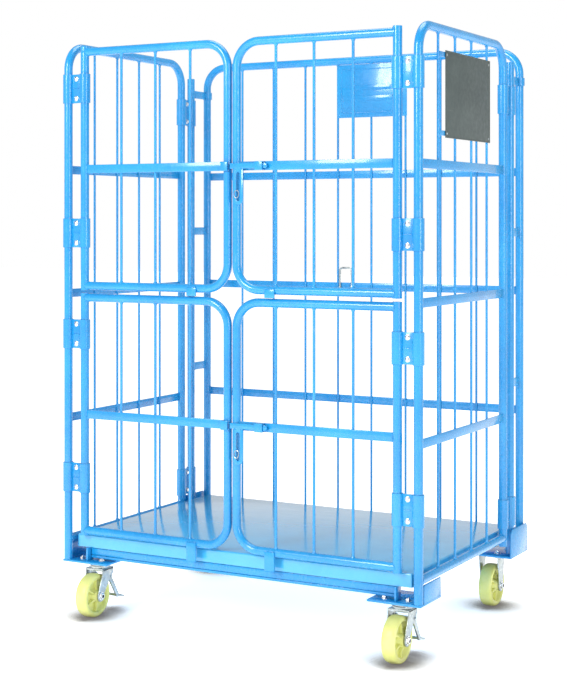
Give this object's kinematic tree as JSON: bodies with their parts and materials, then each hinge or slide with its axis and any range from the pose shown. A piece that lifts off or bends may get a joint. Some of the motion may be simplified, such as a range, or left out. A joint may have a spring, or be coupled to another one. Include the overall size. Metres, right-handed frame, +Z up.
{
  "type": "roll cage container",
  "caption": "Blue wheeled roll cage with split double doors in the front, folding side panels, a flip-up deck and castors.",
  "frame": {"origin": "on the floor, under the middle of the whole object's box", "axes": "+Z up, -Y the door side, +X to the right as one faces the doors"},
  "size_m": [1.1626, 0.8335, 1.7],
  "materials": {
    "paint": "sky-blue gloss powder coat",
    "deck_paint": "smooth high-gloss blue powder coat on sheet",
    "label": "dark grey matt coated plate",
    "zinc": "bright zinc-plated steel",
    "nylon": "pale yellow nylon"
  },
  "bodies": {
    "rear_frame": {"rear_panel": "paint", "rear_sign_plate": "paint", "deck_catch": "zinc", "left_offset_post": "paint", "left_rear_plate": "paint", "left_rear_gusset": "paint", "left_deck_lug": "paint", "left_rear_fork": "zinc", "left_rear_axle": "zinc", "right_offset_post": "paint", "right_rear_plate": "paint", "right_rear_gusset": "paint", "right_deck_lug": "paint", "right_rear_fork": "zinc", "right_rear_axle": "zinc"},
    "deck": {"deck_tray": "deck_paint", "deck_front_beam": "paint"},
    "left_rear_wheel": {"left_rear_wheel": "nylon"},
    "left_rear_link": {"left_rear_clamp_upper": "paint", "left_rear_clamp_lower": "paint"},
    "left_side": {"left_side_panel": "paint", "left_front_plate": "paint", "left_deck_rest": "paint", "left_front_swivel_plate": "zinc"},
    "left_swivel": {"left_front_fork": "zinc", "left_front_axle": "zinc"},
    "left_front_wheel": {"left_front_wheel": "nylon"},
    "left_pedal": {"left_brake_pedal": "zinc", "left_pedal_arm_a": "zinc", "left_pedal_arm_b": "zinc"},
    "left_upper_link": {"left_upper_clamp_a": "paint", "left_upper_clamp_b": "paint"},
    "left_upper_leaf": {"left_upper_leaf": "paint"},
    "left_lower_link": {"left_lower_clamp_a": "paint", "left_lower_clamp_b": "paint"},
    "left_lower_leaf": {"left_lower_leaf": "paint"},
    "right_rear_wheel": {"right_rear_wheel": "nylon"},
    "right_rear_link": {"right_rear_clamp_upper": "paint", "right_rear_clamp_lower": "paint"},
    "right_side": {"right_side_panel": "paint", "right_front_plate": "paint", "right_deck_rest": "paint", "right_front_swivel_plate": "zinc", "label_plate": "label"},
    "right_swivel": {"right_front_fork": "zinc", "right_front_axle": "zinc"},
    "right_front_wheel": {"right_front_wheel": "nylon"},
    "right_pedal": {"right_brake_pedal": "zinc", "right_pedal_arm_a": "zinc", "right_pedal_arm_b": "zinc"},
    "right_upper_link": {"right_upper_clamp_a": "paint", "right_upper_clamp_b": "paint"},
    "right_upper_leaf": {"right_upper_leaf": "paint", "upper_latch_guide": "paint"},
    "upper_latch": {"upper_latch_bolt": "paint"},
    "right_lower_link": {"right_lower_clamp_a": "paint", "right_lower_clamp_b": "paint"},
    "right_lower_leaf": {"right_lower_leaf": "paint", "lower_latch_guide": "paint"},
    "lower_latch": {"lower_latch_bolt": "paint"}
  },
  "joints": [
    {"name": "deck_flip", "type": "hinge", "parent": "rear_frame", "child": "deck", "pos_m": [0, 0.36, 0.222], "axis": [-1, 0, 0], "range_deg": [0, 88]},
    {"name": "left_rear_wheel_spin", "type": "hinge", "parent": "rear_frame", "child": "left_rear_wheel", "pos_m": [-0.493, 0.34, 0.0635], "axis": [1, 0, 0], "continuous": true},
    {"name": "left_rear_link_turn", "type": "hinge", "parent": "rear_frame", "child": "left_rear_link", "pos_m": [-0.565, 0.305, 0.3], "axis": [0, 0, -1], "range_deg": [0, 90]},
    {"name": "left_side_turn", "type": "hinge", "parent": "left_rear_link", "child": "left_side", "pos_m": [-0.565, 0.245, 0.3], "axis": [0, 0, -1], "range_deg": [0, 90]},
    {"name": "left_swivel_turn", "type": "hinge", "parent": "left_side", "child": "left_swivel", "pos_m": [-0.493, -0.315, 0.15], "axis": [0, 0, 1], "continuous": true},
    {"name": "left_front_wheel_spin", "type": "hinge", "parent": "left_swivel", "child": "left_front_wheel", "pos_m": [-0.493, -0.353, 0.0635], "axis": [1, 0, 0], "continuous": true},
    {"name": "left_pedal_press", "type": "hinge", "parent": "left_swivel", "child": "left_pedal", "pos_m": [-0.493, -0.303, 0.112], "axis": [-1, 0, 0], "range_deg": [0, 8]},
    {"name": "left_upper_link_turn", "type": "hinge", "parent": "left_side", "child": "left_upper_link", "pos_m": [-0.565, -0.375, 1.134], "axis": [0, 0, -1], "range_deg": [0, 180]},
    {"name": "left_upper_leaf_turn", "type": "hinge", "parent": "left_upper_link", "child": "left_upper_leaf", "pos_m": [-0.505, -0.375, 1.134], "axis": [0, 0, -1], "range_deg": [0, 90]},
    {"name": "left_lower_link_turn", "type": "hinge", "parent": "left_side", "child": "left_lower_link", "pos_m": [-0.565, -0.375, 0.412], "axis": [0, 0, -1], "range_deg": [0, 180]},
    {"name": "left_lower_leaf_turn", "type": "hinge", "parent": "left_lower_link", "child": "left_lower_leaf", "pos_m": [-0.505, -0.375, 0.412], "axis": [0, 0, -1], "range_deg": [0, 90]},
    {"name": "right_rear_wheel_spin", "type": "hinge", "parent": "rear_frame", "child": "right_rear_wheel", "pos_m": [0.493, 0.34, 0.0635], "axis": [1, 0, 0], "continuous": true},
    {"name": "right_rear_link_turn", "type": "hinge", "parent": "rear_frame", "child": "right_rear_link", "pos_m": [0.565, 0.305, 0.3], "axis": [0, 0, 1], "range_deg": [0, 90]},
    {"name": "right_side_turn", "type": "hinge", "parent": "right_rear_link", "child": "right_side", "pos_m": [0.565, 0.245, 0.3], "axis": [0, 0, 1], "range_deg": [0, 90]},
    {"name": "right_swivel_turn", "type": "hinge", "parent": "right_side", "child": "right_swivel", "pos_m": [0.493, -0.315, 0.15], "axis": [0, 0, 1], "continuous": true},
    {"name": "right_front_wheel_spin", "type": "hinge", "parent": "right_swivel", "child": "right_front_wheel", "pos_m": [0.493, -0.353, 0.0635], "axis": [1, 0, 0], "continuous": true},
    {"name": "right_pedal_press", "type": "hinge", "parent": "right_swivel", "child": "right_pedal", "pos_m": [0.493, -0.303, 0.112], "axis": [-1, 0, 0], "range_deg": [0, 8]},
    {"name": "right_upper_link_turn", "type": "hinge", "parent": "right_side", "child": "right_upper_link", "pos_m": [0.565, -0.375, 1.134], "axis": [0, 0, 1], "range_deg": [0, 180]},
    {"name": "right_upper_leaf_turn", "type": "hinge", "parent": "right_upper_link", "child": "right_upper_leaf", "pos_m": [0.505, -0.375, 1.134], "axis": [0, 0, 1], "range_deg": [0, 90]},
    {"name": "upper_latch_slide", "type": "slide", "parent": "right_upper_leaf", "child": "upper_latch", "axis": [1, 0, 0], "range_m": [-0.015, 0.02]},
    {"name": "right_lower_link_turn", "type": "hinge", "parent": "right_side", "child": "right_lower_link", "pos_m": [0.565, -0.375, 0.412], "axis": [0, 0, 1], "range_deg": [0, 180]},
    {"name": "right_lower_leaf_turn", "type": "hinge", "parent": "right_lower_link", "child": "right_lower_leaf", "pos_m": [0.505, -0.375, 0.412], "axis": [0, 0, 1], "range_deg": [0, 90]},
    {"name": "lower_latch_slide", "type": "slide", "parent": "right_lower_leaf", "child": "lower_latch", "axis": [1, 0, 0], "range_m": [-0.015, 0.02]}
  ]
}
